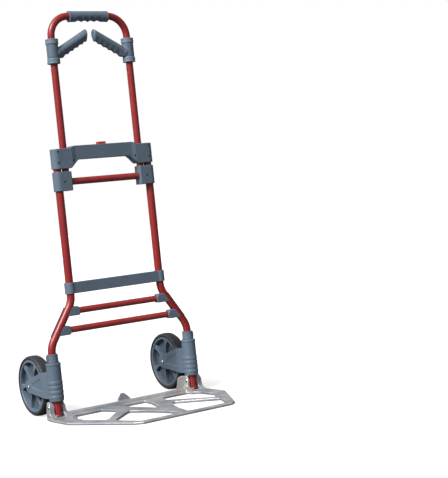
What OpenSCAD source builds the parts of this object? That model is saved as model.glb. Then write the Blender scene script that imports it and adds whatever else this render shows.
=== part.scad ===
// Folding luggage cart: a telescoping handle on a bent tube frame, two folding wheel forks and a
// hinged cast toe plate. Millimetres, +Z up, floor at z = 0, toe plate towards -Y, wheels behind.
// Origin: on the floor, midway between the side tubes and in their plane.

/* [Frame tubes] */
// Outside diameter of the side tubes
lower_tube_d = 22; // [21.6:0.2:22.4]
// Outside diameter of the handle tube
upper_tube_d = 20; // [19.6:0.2:20.2]
// Wall of every tube
tube_wall = 1.5; // [1.2:0.1:2]
// Half the distance between the side tubes above the knees
lower_x = 144.4; // [144.2:0.2:145]
// Half the distance between the handle legs
upper_x = 119.6; // [119.4:0.1:119.8]
// Half the distance between the side tubes at the wheels
foot_x = 219.5; // [218:0.5:221]
// Height at which the upper knee's centre lines meet
knee_high_z = 312; // [310:1:314]
// Height at which the lower knee's centre lines meet
knee_low_z = 207; // [205:1:208]

/* [Handle] */
// Height of the top of the grip, handle extended
total_height = 1112; // [1105:1:1120]
// Radius of the handle's two bends, on the centre line
handle_bend = 57; // [54:1:60]
// Outside diameter of the fixed top grip
grip_d = 29; // [27:0.5:31]
// Height of the middle of the swivel sleeves
sleeve_z = 1000; // [996:1:1001]
// Slope of the swivel grips above level, degrees
swivel_slope = 29; // [27:1:30]

/* [Bridge and sliders] */
// Underside of the bridge's two ends
bridge_z = 680; // [679:0.5:682]
// Height of the bridge's two ends
bridge_h = 53; // [53:0.5:54]
// Height of the slider collars
slider_h = 53; // [50:1:54]
// Front to back size of the bridge's ends and of the sliders
housing_depth = 33; // [32:0.5:35]
// Travel of the release button
button_travel = 4; // [3:0.5:4]

/* [Cross members] */
// Middle height of the flat cross band
band_z = 350; // [349:0.5:352]
// Height of the flat cross band
band_h = 31; // [28:1:31]
// Outside diameter of the round cross tubes
cross_tube_d = 16; // [15:0.5:16]
// Height of the upper cross tube
cross_high_z = 288; // [286:1:289]
// Height of the lower cross tube
cross_low_z = 238; // [236:1:240]

/* [Wheels and forks] */
// Wheel diameter over the tyre
wheel_d = 170; // [169:0.5:170]
// Width of the tyre
wheel_w = 34; // [32:0.5:34]
// Distance from the side tube to the wheel's axle
fork_reach = 119; // [118:0.5:120]
// Diameter of the fork's barrel
barrel_d = 40; // [39:0.5:40]
// Underside of the fork's barrel
barrel_z = 51; // [51:0.5:52]
// Top of the fork's barrel
barrel_top = 155; // [153:1:157]

/* [Toe plate] */
// Height of the hinge pins above the floor
pin_z = 35; // [35:0.1:35.2]
// Thickness of the toe plate's side rails
rail_t = 11; // [10:0.5:11]
// Thickness of the toe plate's ribs and front web
rib_t = 9; // [8:0.5:9]
// How far the toe plate reaches in front of the side tubes, at its middle
plate_reach = 318; // [310:1:325]

/* [Hidden] */
$fn = 96;
RED = [0.70, 0.14, 0.14];
GREY = [0.42, 0.49, 0.56];
PALE = [0.55, 0.61, 0.68];
METAL = [0.66, 0.66, 0.69];
STEEL = [0.75, 0.75, 0.77];
BLACK = [0.10, 0.10, 0.11];

e = 0.01;
run = 0.05;                       // running clearance of shafts and sliding tubes
gap = 0.4;                        // gap between parts that pass without touching
lower_r = lower_tube_d / 2;
upper_r = upper_tube_d / 2;
wheel_r = wheel_d / 2;

tube_foot = 12;                   // lower end of the side tubes
bridge_top = bridge_z + bridge_h;
beam_rise = 6;                    // how far the bridge's middle stands above its ends
beam_low = bridge_z + 24;         // underside of the bridge's middle beam
beam_depth = 27;
lid = 5;                          // thickness of plastic over the side tubes' upper ends
slider_top = bridge_z - 12;
slider_z = slider_top - slider_h;
slider_out = lower_x + 16.6;      // outer side of sliders and bridge
slider_in = upper_x - 15.1;       // inner side of the sliders
slider_floor = 4;                 // plastic under the handle tube's ends
cross_socket = 4;                 // how far the slider cross tube enters each slider
handle_foot = slider_z + slider_floor;
handle_top = total_height - grip_d / 2;

knee_bend = 60;
slope = atan2(foot_x - lower_x, knee_high_z - knee_low_z);
knee_tangent = knee_bend * tan(slope / 2);
slant = (knee_high_z - knee_low_z) / cos(slope);

ring_d = 36;
ring_h = 16;
sleeve_d = 33;
sleeve_h = 36;
swivel_tip = 22;                  // distance of the swivel grips' ends from the middle
swivel_start_z = sleeve_z - 12;   // where the swivel grip's axis meets the tube's axis
cap_t = 3;
slide_travel = floor(sleeve_z - sleeve_h / 2 - ring_h - bridge_top - beam_rise);

axle_r = 5;
cheek_gap = wheel_w / 2 + 1.2;
cheek_t = 5.6;
cheek_out = cheek_gap + cheek_t;
hub_boss_r = 17;
tread_t = 11;
rim_r = wheel_r - tread_t;
collar_h = 23;

pin_r = 4;
beam_back = 4;
beam_front = 12;
beam_h = 17;
ear_front = 15.4;
ear_back = 13;
slot = lower_r + 0.5;
ear_in = foot_x - 23.5;
ear_out = foot_x + 25.5;
ear_floor = 8;

// ---- helpers ----

// One side only is drawn: side = 1 is the right-hand side (+X), side = -1 its mirror image.
module on_side(side) {
    if (side > 0) children();
    else mirror([1, 0, 0]) children();
}

module pipe(r, h) {
    difference() {
        cylinder(r = r, h = h);
        translate([0, 0, -e]) cylinder(r = r - tube_wall, h = h + 2 * e);
    }
}

// A bent length of tube that starts at the origin along +Z and turns towards +X.
module elbow(r, bend, angle) {
    translate([bend, 0, 0])
    rotate([90, 0, 180])
    rotate_extrude(angle = angle)
    translate([bend, 0])
    difference() {
        circle(r = r);
        circle(r = r - tube_wall);
    }
}

// Polygon in the XZ plane, given as [x, z], spread over y0..y1.
module slab_y(points, y0, y1) {
    translate([0, y1, 0]) rotate([90, 0, 0]) linear_extrude(y1 - y0) polygon(points);
}

// Rounded-end plan shape from x0 to x1, its outer end a half circle.
module housing_plan(x0, x1, depth) {
    r = depth / 2;
    translate([x1 - r, 0]) circle(r = r);
    translate([x0, -r]) square([x1 - r - x0, depth]);
}

// Places its child on the slanted length of the right-hand tube, +Z up along the tube and
// +X away from the cart's middle.
module on_slant(side) {
    on_side(side)
    translate([foot_x, 0, knee_low_z])
    rotate([0, -slope, 0])
    children();
}

function slant_x(z) = foot_x - (z - knee_low_z) * tan(slope);

// ---- side tubes ----

module side_tube(side) {
    color(RED) on_side(side) {
        low_end = knee_low_z - knee_tangent;
        difference() {
            translate([foot_x, 0, tube_foot]) pipe(lower_r, low_end - tube_foot);
            translate([foot_x - 20, 0, pin_z]) rotate([0, 90, 0]) cylinder(r = pin_r + run, h = 40);
        }
        translate([foot_x, 0, low_end]) mirror([1, 0, 0]) elbow(lower_r, knee_bend, slope);
        translate([foot_x, 0, knee_low_z]) rotate([0, -slope, 0])
            translate([0, 0, knee_tangent]) pipe(lower_r, slant - 2 * knee_tangent);
        high_end = knee_high_z + knee_tangent;
        translate([lower_x, 0, high_end]) rotate([180, 0, 0]) elbow(lower_r, knee_bend, slope);
        translate([lower_x, 0, high_end]) pipe(lower_r, bridge_top - lid - high_end);
    }
}
module lower_tube_left() { side_tube(-1); }
module lower_tube_right() { side_tube(1); }

// A wear strip on the outer and rear quarter of the slanted length.
module glide_strip(side) {
    length = 88;
    color(GREY) on_slant(side)
    translate([0, 0, slant / 2 - length / 2])
    difference() {
        cylinder(r = lower_r + 4, h = length);
        translate([0, 0, -e]) cylinder(r = lower_r + run, h = length + 2 * e);
        translate([-61.5, -30, -e]) cube([60, 60, length + 2 * e]);
        translate([-30, -62, -e]) cube([60, 60, length + 2 * e]);
    }
}
module glide_strip_left() { glide_strip(-1); }
module glide_strip_right() { glide_strip(1); }

module tube_collar(side) {
    color(GREY) on_side(side)
    translate([foot_x, 0, barrel_top + gap])
    difference() {
        union() {
            cylinder(r = lower_r + 4.4, h = collar_h);
            translate([lower_r + 1, -4, 3]) cube([6.5, 8, collar_h - 6]);
        }
        translate([0, 0, -e]) cylinder(r = lower_r + run, h = collar_h + 2 * e);
        translate([lower_r - 1, -0.6, -e]) cube([10, 1.2, collar_h + 2 * e]);
    }
}
module tube_collar_left() { tube_collar(-1); }
module tube_collar_right() { tube_collar(1); }

// ---- cross members ----

module lower_cross_band() {
    wrap_r = lower_r + 3.8;
    low = band_z - band_h / 2;
    color(GREY) difference() {
        union() {
            translate([-lower_x, -lower_r - 1, low]) cube([2 * lower_x, 11, band_h]);
            for (side = [-1, 1])
                translate([side * lower_x, 0, low]) cylinder(r = wrap_r, h = band_h);
        }
        for (side = [-1, 1])
            translate([side * lower_x, 0, low - e]) cylinder(r = lower_r + run, h = band_h + 2 * e);
    }
}

module cross_tube(z) {
    half = slant_x(z) - lower_r / cos(slope) - 7;
    color(RED) translate([-half, 0, z]) rotate([0, 90, 0]) pipe(cross_tube_d / 2, 2 * half);
}
module cross_tube_upper() { cross_tube(cross_high_z); }
module cross_tube_lower() { cross_tube(cross_low_z); }

module clamp(side, z) {
    width = 24;
    height = 23;
    depth = 21;
    inner = slant_x(z) - lower_r / cos(slope) - width;
    lean = height / 2 * tan(slope);
    color(GREY) on_side(side) difference() {
        slab_y([
            [inner + lean * 0.5, z + height / 2],
            [inner - lean * 0.2, z],
            [inner + lean * 0.3, z - height / 2],
            [slant_x(z - height / 2) - 3, z - height / 2],
            [slant_x(z + height / 2) - 3, z + height / 2]
        ], -depth / 2, depth / 2);
        translate([foot_x, 0, knee_low_z]) rotate([0, -slope, 0]) cylinder(r = lower_r + run, h = slant);
        translate([inner - 20, 0, z]) rotate([0, 90, 0])
            cylinder(r = cross_tube_d / 2 + run, h = width + 13.2);
    }
}
module clamp_upper_left() { clamp(-1, cross_high_z); }
module clamp_upper_right() { clamp(1, cross_high_z); }
module clamp_lower_left() { clamp(-1, cross_low_z); }
module clamp_lower_right() { clamp(1, cross_low_z); }

// ---- bridge, release button and latch ----

button_w = 26;
button_d = 13;
cavity_x = upper_x - upper_r - 5;
cavity_top = bridge_top + beam_rise - 4;
cavity_low = beam_low + 4;
cam_z = beam_low + 15;
bolt_r = 4;
bridge_screw_at = [[lower_x, bridge_top - 8], [lower_x, bridge_z + 14], [97, beam_low - 0.5]];

module bridge_body() {
    difference() {
        intersection() {
            slab_y([
                [-slider_out, bridge_z], [-slider_out, bridge_top], [-107, bridge_top],
                [-94, bridge_top + beam_rise], [94, bridge_top + beam_rise], [107, bridge_top],
                [slider_out, bridge_top], [slider_out, bridge_z], [99, bridge_z], [81, beam_low],
                [-81, beam_low], [-99, bridge_z]
            ], -housing_depth, housing_depth);
            translate([0, 0, bridge_z - 1]) linear_extrude(bridge_h + beam_rise + 2) {
                for (side = [-1, 1]) on_side(side) housing_plan(102, slider_out, housing_depth);
                square([230, beam_depth], center = true);
            }
        }
        for (side = [-1, 1]) {
            translate([side * lower_x, 0, bridge_z - 1]) cylinder(r = lower_r + run, h = bridge_h - lid + 1);
            translate([side * upper_x, 0, bridge_z - 1]) cylinder(r = upper_r + run, h = bridge_h + 20);
            translate([side * cavity_x, 0, cam_z]) rotate([0, side * 90, 0])
                translate([0, 0, -2]) cylinder(r = bolt_r + gap, h = 9);
        }
        translate([-cavity_x, -8, cavity_low]) cube([2 * cavity_x, 16, cavity_top - cavity_low]);
        translate([-button_w / 2 - gap, -button_d / 2 - gap, cavity_top - 1])
            cube([button_w + 2 * gap, button_d + 2 * gap, 20]);
        for (side = [-1, 1]) for (p = bridge_screw_at)
            translate([side * p[0], 0, p[1]]) screw_hole(p[0] > 120 ? housing_depth / 2 : beam_depth / 2);
    }
}

screw_head_r = 3.2;
screw_head_h = 1.6;

module screw_hole(face) {
    rotate([90, 0, 0]) cylinder(r = 1.75, h = face + 1);
    translate([0, -face + screw_head_h, 0]) rotate([90, 0, 0]) cylinder(r = screw_head_r + 0.1, h = 10);
}

module screw(face, length) {
    translate([0, -face + screw_head_h, 0]) rotate([90, 0, 0]) difference() {
        cylinder(r = screw_head_r, h = screw_head_h - 0.3);
        translate([0, 0, screw_head_h - 1]) cylinder(r = 1.5, h = 2, $fn = 6);
    }
    translate([0, -face + screw_head_h + length, 0]) rotate([90, 0, 0]) cylinder(r = 1.7, h = length);
}

module bridge_front() {
    color(GREY) intersection() {
        bridge_body();
        translate([-200, -60, bridge_z - 5]) cube([400, 60, 100]);
    }
}

module bridge_rear() {
    color(GREY) intersection() {
        bridge_body();
        translate([-200, 0, bridge_z - 5]) cube([400, 60, 100]);
    }
}

module bridge_screws() {
    color(STEEL) for (side = [-1, 1]) for (p = bridge_screw_at)
        translate([side * p[0], 0, p[1]])
        if (p[0] > 120) screw(housing_depth / 2, housing_depth / 2 - screw_head_h - lower_r - 0.2);
        else screw(beam_depth / 2, 8);
}

module release_button() {
    face = bridge_top + beam_rise + 7;
    foot = cam_z - 3;
    color(RED) {
        translate([-button_w / 2, -button_d / 2, cavity_top - 8])
            cube([button_w, button_d, face - cavity_top + 8]);
        for (side = [-1, 1]) {
            translate([side * 9 - 3, -6.2, foot]) cube([6, 2.4, cavity_top - 7 - foot]);
            translate([side * 9, -4, cam_z]) rotate([-90, 0, 0]) cylinder(r = 1.5, h = 6);
        }
    }
}

module button_spring() {
    spring_low = cavity_low + 0.2;
    spring_high = cavity_top - 8 - 0.2;
    color(STEEL) translate([0, 4.2, spring_low])
    linear_extrude(spring_high - spring_low, twist = -360 * 4, slices = 72, $fn = 12)
    translate([2.6, 0]) circle(r = 0.8, $fn = 7);
}

// The bolt's flat inner end has a slot at 45 degrees that the button's cam pin runs in.
module latch_bolt(side) {
    slot_r = 1.5 + gap;
    reach = upper_x - upper_r - gap;
    color(STEEL) on_side(side) difference() {
        union() {
            translate([20, 0, cam_z]) rotate([0, 90, 0]) cylinder(r = bolt_r, h = reach - 20);
            translate([5, -3.4, cam_z - 7.5]) cube([17, 3.4, 11]);
        }
        translate([9, 1, cam_z]) rotate([90, 0, 0]) cylinder(r = slot_r, h = 6);
        translate([9 + button_travel, 1, cam_z - button_travel]) rotate([90, 0, 0])
            cylinder(r = slot_r, h = 6);
        translate([9, -5, cam_z]) rotate([0, 45, 0]) translate([0, 0, -slot_r])
            cube([button_travel * sqrt(2), 6, 2 * slot_r]);
    }
}
module latch_bolt_left() { latch_bolt(-1); }
module latch_bolt_right() { latch_bolt(1); }

// ---- telescoping handle ----

module handle_tube() {
    leg = handle_top - handle_bend - handle_foot;
    color(RED) {
        for (side = [-1, 1]) on_side(side) {
            translate([upper_x, 0, handle_foot]) pipe(upper_r, leg);
            translate([upper_x, 0, handle_foot + leg]) mirror([1, 0, 0]) elbow(upper_r, handle_bend, 90);
        }
        translate([-upper_x + handle_bend, 0, handle_top]) rotate([0, 90, 0])
            pipe(upper_r, 2 * (upper_x - handle_bend));
    }
}

grip_half = 61;
grip_waves = 4;

module top_grip() {
    pitch = 2 * grip_half / grip_waves;
    color(GREY) difference() {
        translate([-grip_half, 0, handle_top]) rotate([0, 90, 0])
            cylinder(r = grip_d / 2, h = 2 * grip_half);
        translate([-grip_half - 1, 0, handle_top]) rotate([0, 90, 0])
            cylinder(r = upper_r + run, h = 2 * grip_half + 2);
        for (i = [0 : grip_waves - 1])
            translate([-grip_half + (i + 0.5) * pitch, -30, handle_top - grip_d / 2 - 26.5])
            rotate([-90, 0, 0]) cylinder(r = 28, h = 60);
    }
}

module slider(side) {
    color(GREY) on_side(side) difference() {
        translate([0, 0, slider_z]) linear_extrude(slider_h)
            housing_plan(slider_in, slider_out, housing_depth);
        translate([lower_x, 0, slider_z - 1]) cylinder(r = lower_r + run, h = slider_h + 2);
        translate([upper_x, 0, handle_foot - 0.1]) cylinder(r = upper_r + run, h = slider_h);
        translate([slider_in - 1, 0, slider_z + slider_h / 2]) rotate([0, 90, 0])
            cylinder(r = cross_tube_d / 2 + run, h = cross_socket + 1);
        translate([slider_screw_x, 0, slider_z + slider_h / 2]) difference() {
            screw_hole(housing_depth / 2);
            translate([-5, -6.5, -5]) cube([10, 10, 10]);
        }
    }
}
slider_screw_x = 131.6;
module slider_left() { slider(-1); }
module slider_right() { slider(1); }

module slider_cross_tube() {
    half = slider_in + cross_socket - 0.2;
    color(RED) translate([-half, 0, slider_z + slider_h / 2]) rotate([0, 90, 0])
        pipe(cross_tube_d / 2, 2 * half);
}

module slider_screws() {
    color(STEEL) for (side = [-1, 1])
        translate([side * slider_screw_x, 0, slider_z + slider_h / 2]) screw(housing_depth / 2, 7);
}

module swivel_ring(side, z) {
    color(PALE) on_side(side) translate([upper_x, 0, z]) difference() {
        cylinder(r = ring_d / 2, h = ring_h);
        translate([0, 0, -e]) cylinder(r = upper_r + run, h = ring_h + 2 * e);
    }
}
ring_high_z = sleeve_z + sleeve_h / 2;
ring_low_z = sleeve_z - sleeve_h / 2 - ring_h;
module swivel_ring_upper_left() { swivel_ring(-1, ring_high_z); }
module swivel_ring_upper_right() { swivel_ring(1, ring_high_z); }
module swivel_ring_lower_left() { swivel_ring(-1, ring_low_z); }
module swivel_ring_lower_right() { swivel_ring(1, ring_low_z); }

// ---- swivel grips ----

bar_w = 24;
bar_h = 30;

// Teardrop cross-section, its point downwards along -Y.
module bar_section() {
    r = bar_w / 2;
    tip_r = 5;
    drop = bar_h - r - tip_r;
    spread = acos((r - tip_r) / drop);
    circle(r = r);
    translate([0, -drop]) circle(r = tip_r);
    polygon([
        [r * sin(spread), -r * cos(spread)], [-r * sin(spread), -r * cos(spread)],
        [-tip_r * sin(spread), -drop - tip_r * cos(spread)],
        [tip_r * sin(spread), -drop - tip_r * cos(spread)]
    ]);
}

// The bar leaves the right-hand tube's axis towards the cart's middle, rising at swivel_slope.
module bar(from, to) {
    intersection() {
        translate([upper_x, 0, swivel_start_z]) rotate([0, swivel_slope, 0]) rotate([90, 0, -90])
            translate([0, (bar_h - bar_w) / 2, 0]) linear_extrude(140) bar_section();
        translate([from, -30, sleeve_z - 60]) cube([to - from, 60, 140]);
    }
}

module swivel_grip(side) {
    half = sleeve_h / 2 - gap;
    waves = 4;
    pitch = 18;
    color(GREY) on_side(side) difference() {
        union() {
            translate([upper_x, 0, sleeve_z - half]) cylinder(r = sleeve_d / 2, h = 2 * half);
            bar(swivel_tip + cap_t, upper_x);
        }
        translate([upper_x, 0, sleeve_z - 60]) cylinder(r = upper_r + run, h = 140);
        translate([upper_x, 0, sleeve_z + half]) cylinder(r = ring_d / 2 + 1, h = 30);
        translate([upper_x, 0, sleeve_z - half - 30]) cylinder(r = ring_d / 2 + 1, h = 30);
        for (i = [0 : waves - 1])
            translate([upper_x, 0, swivel_start_z]) rotate([0, swivel_slope, 0])
            translate([-35 - i * pitch, -30, -bar_h / 2 - 18]) rotate([-90, 0, 0])
            cylinder(r = 20, h = 60);
    }
}
module swivel_grip_left() { swivel_grip(-1); }
module swivel_grip_right() { swivel_grip(1); }

module grip_cap(side) {
    hole_z = swivel_start_z + (upper_x - swivel_tip) * tan(swivel_slope) + 3;
    color(PALE) on_side(side) difference() {
        bar(swivel_tip, swivel_tip + cap_t);
        translate([swivel_tip - 1, 0, hole_z]) rotate([0, 90, 0]) cylinder(r = 1.8, h = cap_t + 2);
    }
}
module grip_cap_left() { grip_cap(-1); }
module grip_cap_right() { grip_cap(1); }

// ---- wheel forks ----

module fork(side) {
    rings = [60 : 12 : 108];
    color(GREY) on_side(side) difference() {
        union() {
            translate([foot_x, 0, barrel_z]) cylinder(r = barrel_d / 2, h = barrel_top - barrel_z);
            for (z = rings) translate([foot_x, 0, z - 2.5]) cylinder(r = barrel_d / 2 + 0.8, h = 5);
            fork_cheeks();
        }
        translate([foot_x, 0, 0]) cylinder(r = lower_r + run, h = barrel_top + 1);
        translate([foot_x, fork_reach, wheel_r]) rotate([0, 90, 0])
            cylinder(r = wheel_r + 5, h = 2 * cheek_gap, center = true);
        translate([foot_x - 40, fork_reach, wheel_r]) rotate([0, 90, 0])
            cylinder(r = axle_r + 0.02, h = 80);
        for (face = [-1, 1]) translate([foot_x + face * (cheek_out - 0.8), 0, 0])
            slab_x([[34, 77], [34, 112], [88, 94], [98, 85]], face > 0 ? 0 : -2, face > 0 ? 2 : 0);
    }
}

// Polygon in the YZ plane, given as [y, z], spread over x0..x1.
module slab_x(points, x0, x1) {
    translate([x0, 0, 0]) rotate([90, 0, 90]) linear_extrude(x1 - x0) polygon(points);
}

// Side shape of the fork: deep at the barrel, tapering to a round end at the axle.
module fork_cheeks() {
    back = [[0, 62], [8, 57], [22, 57], [fork_reach - 4, wheel_r - hub_boss_r + 0.5],
        [fork_reach + 3, wheel_r + hub_boss_r - 0.3], [30, 128], [0, 128]];
    intersection() {
        union() {
            translate([foot_x, 0, 0]) slab_x(back, -cheek_out, cheek_out);
            translate([foot_x - cheek_out, fork_reach, wheel_r]) rotate([0, 90, 0])
                cylinder(r = hub_boss_r, h = 2 * cheek_out);
        }
        translate([foot_x, 0, 0]) linear_extrude(200) {
            polygon([[-18, 0], [18, 0], [cheek_out, 34], [cheek_out, 150], [-cheek_out, 150],
                [-cheek_out, 34]]);
        }
    }
}
module fork_left() { fork(-1); }
module fork_right() { fork(1); }

module axle(side) {
    color(STEEL) on_side(side) translate([foot_x, fork_reach, wheel_r]) rotate([0, 90, 0]) {
        translate([0, 0, -cheek_out - 1]) cylinder(r = axle_r, h = 2 * cheek_out + 1);
        translate([0, 0, cheek_out]) cylinder(r = 8, h = 2.5);
        translate([0, 0, cheek_out + 2.5]) cylinder(r = 5.5, h = 1.5);
    }
}
module axle_left() { axle(-1); }
module axle_right() { axle(1); }

module axle_cap(side) {
    color(STEEL) on_side(side) translate([foot_x - cheek_out, fork_reach, wheel_r])
    rotate([0, -90, 0]) difference() {
        union() {
            cylinder(r = 8, h = 2.5);
            cylinder(r = 6, h = 4);
        }
        translate([0, 0, -1]) cylinder(r = axle_r + 0.02, h = 2.1);
    }
}
module axle_cap_left() { axle_cap(-1); }
module axle_cap_right() { axle_cap(1); }

// ---- wheels ----

hub_r = 15;
ring_t = 8;
spokes = 6;
spoke_turn = [25, 10];            // where the first spoke stands, left and right wheel

module rim(side) {
    half = wheel_w / 2;
    color(GREY) on_side(side) translate([foot_x, fork_reach, wheel_r]) rotate([0, 90, 0])
    difference() {
        union() {
            rotate_extrude() polygon([
                [hub_r - 1, -3], [rim_r - 1, -3], [rim_r - 1, 3], [hub_r - 1, 3]
            ]);
            rotate_extrude() polygon([
                [rim_r - ring_t, 14 - half], [rim_r, 14 - half], [rim_r, half - 14],
                [rim_r - ring_t, half - 14]
            ]);
            rotate_extrude() translate([rim_r - ring_t, 3 - half]) square([ring_t - 1, wheel_w - 6]);
            cylinder(r = hub_r, h = wheel_w - 1, center = true);
            for (i = [0 : spokes - 1])
                rotate([0, 0, i * 360 / spokes + (side < 0 ? spoke_turn[0] : spoke_turn[1])])
                translate([hub_r - 2, -2, 5 - half]) cube([rim_r - ring_t - hub_r + 4, 4, wheel_w - 10]);
        }
        cylinder(r = axle_r + run, h = wheel_w + 2, center = true);
    }
}
module rim_left() { rim(-1); }
module rim_right() { rim(1); }

module tyre(side) {
    half = wheel_w / 2;
    color(BLACK) on_side(side) translate([foot_x, fork_reach, wheel_r]) rotate([0, 90, 0])
    rotate_extrude() polygon([
        [rim_r - 1, 3 - half], [rim_r - 1, 14 - half], [rim_r, 14 - half], [rim_r, half - 14],
        [rim_r - 1, half - 14], [rim_r - 1, half - 3], [rim_r + 3, half], [wheel_r - 5, half],
        [wheel_r - 1, half - 3], [wheel_r, half - 8], [wheel_r, 8 - half], [wheel_r - 1, 3 - half],
        [wheel_r - 5, -half], [rim_r + 3, -half]
    ]);
}
module tyre_left() { tyre(-1); }
module tyre_right() { tyre(1); }

// ---- toe plate ----

// All plan points are [distance from the middle, distance in front of the side tubes].
plate_edge = [[250, -ear_back], [257, 15], [257, 80], [216, 190], [152, plate_reach - 18]];
root_window = [[94, 14], [190, 17], [206, 34], [206, 108], [174, 161], [62, 76]];
tip_window = [[84, 131], [168, 202], [129, plate_reach - 37], [17, plate_reach - 37], [29, 222],
    [50, 160]];
middle_window = [[-46, 14], [46, 14], [34, 72], [0, 122], [-34, 72]];

function flip(points) = [for (p = points) [p[0], -p[1]]];

module plate_half() {
    polygon(flip(concat([[0, -beam_back], [186, -beam_back], [186, -ear_back]], plate_edge,
        [[0, plate_reach]])));
}

module half_windows() {
    polygon(flip(root_window));
    polygon(flip(tip_window));
}

module ear_profile() {
    drop = pin_z - 1;
    translate([0, pin_z]) circle(r = ear_front);
    translate([0, pin_z - drop]) square([ear_back, drop + 15.4]);
    polygon([[-ear_front, pin_z], [0, pin_z], [0, 1], [-34, 1], [-34, 9], [-20, 11], [-ear_front, 14]]);
}

module ear(side) {
    on_side(side) difference() {
        union() {
            translate([ear_in, 0, 0]) rotate([90, 0, 90]) linear_extrude(ear_out - ear_in) ear_profile();
            slab_y([[ear_in + 1, 45], [ear_in - 8, 33], [ear_in - 16, 22], [ear_in - 27, beam_h],
                [ear_in - 27, 1], [ear_in + 1, 1]], 0, 10);
        }
        translate([foot_x - slot, -60, ear_floor]) cube([2 * slot, 100, 80]);
        translate([ear_in - 5, 0, pin_z]) rotate([0, 90, 0]) cylinder(r = pin_r + run, h = 60);
    }
}

module toe_plate() {
    color(METAL) difference() {
        union() {
            difference() {
                for (side = [-1, 1]) on_side(side) linear_extrude(rail_t) plate_half();
                translate([0, 0, -1]) linear_extrude(rail_t + 2) {
                    for (side = [-1, 1]) on_side(side) half_windows();
                    polygon(flip(middle_window));
                }
                translate([0, 0, rib_t]) linear_extrude(rail_t) rib_area();
                for (side = [-1, 1]) on_side(side)
                    translate([foot_x - slot, -17, ear_floor]) cube([2 * slot, 40, 20]);
            }
            translate([-ear_in - 1, -beam_front, 0]) cube([2 * ear_in + 2, beam_front + beam_back, beam_h]);
            tab();
            for (side = [-1, 1]) ear(side);
        }
    }
}

// Where the plate is thinner than its rails: between the windows and along the front.
module rib_area() {
    polygon(flip([[-188, 13], [188, 13], [188, 105], [160, 165], [155, 202], [118, plate_reach - 38],
        [130, plate_reach - 22], [0, plate_reach - 6], [-130, plate_reach - 22],
        [-118, plate_reach - 38], [-155, 202], [-160, 165], [-188, 105]]));
}

module tab() {
    slab_y([[-32, 10], [-30, 28], [-24, 36], [-15, 38], [-8, 36], [6, 22], [12, 10]], -1, beam_back);
}

module hinge_pin(side) {
    color(STEEL) on_side(side) translate([ear_in - 0.6, 0, pin_z]) rotate([0, 90, 0])
        cylinder(r = pin_r, h = ear_out - ear_in + 1.2);
}
module hinge_pin_left() { hinge_pin(-1); }
module hinge_pin_right() { hinge_pin(1); }

// ---- what is drawn ----

lower_tube_left();
lower_tube_right();
bridge_front();
bridge_rear();
bridge_screws();
release_button();
button_spring();
latch_bolt_left();
latch_bolt_right();
lower_cross_band();
cross_tube_upper();
cross_tube_lower();
clamp_upper_left();
clamp_upper_right();
clamp_lower_left();
clamp_lower_right();
glide_strip_left();
glide_strip_right();
tube_collar_left();
tube_collar_right();
hinge_pin_left();
hinge_pin_right();
handle_tube();
top_grip();
slider_left();
slider_right();
slider_cross_tube();
slider_screws();
swivel_ring_upper_left();
swivel_ring_upper_right();
swivel_ring_lower_left();
swivel_ring_lower_right();
swivel_grip_left();
swivel_grip_right();
grip_cap_left();
grip_cap_right();
fork_left();
fork_right();
axle_left();
axle_right();
axle_cap_left();
axle_cap_right();
rim_left();
rim_right();
tyre_left();
tyre_right();
toe_plate();
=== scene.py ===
"""Visual model of a folding luggage cart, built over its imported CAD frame.

Shapes are made in millimetres in the frame's own axes: +X to the right, -Y to the front, +Z up,
with the side tubes in the plane y = 0. They turn into metres when a piece is made. A shape is
made for the right-hand side and mirrored for the left.
"""

import math

import bmesh
import bpy
from mathutils import Matrix, Vector


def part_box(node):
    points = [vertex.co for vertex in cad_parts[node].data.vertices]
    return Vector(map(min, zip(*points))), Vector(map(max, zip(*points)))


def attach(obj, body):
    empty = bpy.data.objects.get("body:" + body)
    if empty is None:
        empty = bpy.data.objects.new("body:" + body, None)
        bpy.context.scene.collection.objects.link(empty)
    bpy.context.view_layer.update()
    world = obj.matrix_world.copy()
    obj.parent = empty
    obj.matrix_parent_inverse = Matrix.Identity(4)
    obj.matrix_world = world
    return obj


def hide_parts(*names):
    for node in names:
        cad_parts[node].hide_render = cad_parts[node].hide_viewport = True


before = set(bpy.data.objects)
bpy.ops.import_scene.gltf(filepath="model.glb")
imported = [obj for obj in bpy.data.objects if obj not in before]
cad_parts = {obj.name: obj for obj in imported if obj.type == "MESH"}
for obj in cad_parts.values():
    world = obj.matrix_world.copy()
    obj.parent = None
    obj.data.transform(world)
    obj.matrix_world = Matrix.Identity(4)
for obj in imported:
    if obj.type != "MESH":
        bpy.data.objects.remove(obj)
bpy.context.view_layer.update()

MM = 0.001
SIDES = (("left", -1), ("right", 1))


# ---- measures, in millimetres, read from the CAD frame ----


def box(node):
    """Lowest and highest corner of a CAD node, in millimetres."""
    low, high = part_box(node)
    return low / MM, high / MM


def middle(node):
    low, high = box(node)
    return (low + high) / 2


def size(node):
    low, high = box(node)
    return high - low


WHEEL = middle("tyre_right")
wheel_r = size("tyre_right").z / 2
wheel_w = size("tyre_right").x
foot_x = WHEEL.x

lower_r = 11.0
upper_r = 10.0
tube_wall = 1.5
close_fit, loose_fit = 0.05, 0.1
tube_low, tube_high = box("lower_tube_right")
lower_x = tube_low.x + lower_r
upper_x = middle("swivel_ring_upper_right").x
handle_foot = box("handle_tube")[0].z
handle_top = middle("top_grip").z
handle_bend = 57.0

knee_high_z = 312.0
knee_low_z = 199.0
knee_bend = 60.0
slope = math.atan2(foot_x - lower_x, knee_high_z - knee_low_z)
slant = (knee_high_z - knee_low_z) / math.cos(slope)

swivel_slope = math.radians(29)
pin_z = middle("hinge_pin_right").z


# ---- outlines ----


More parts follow.
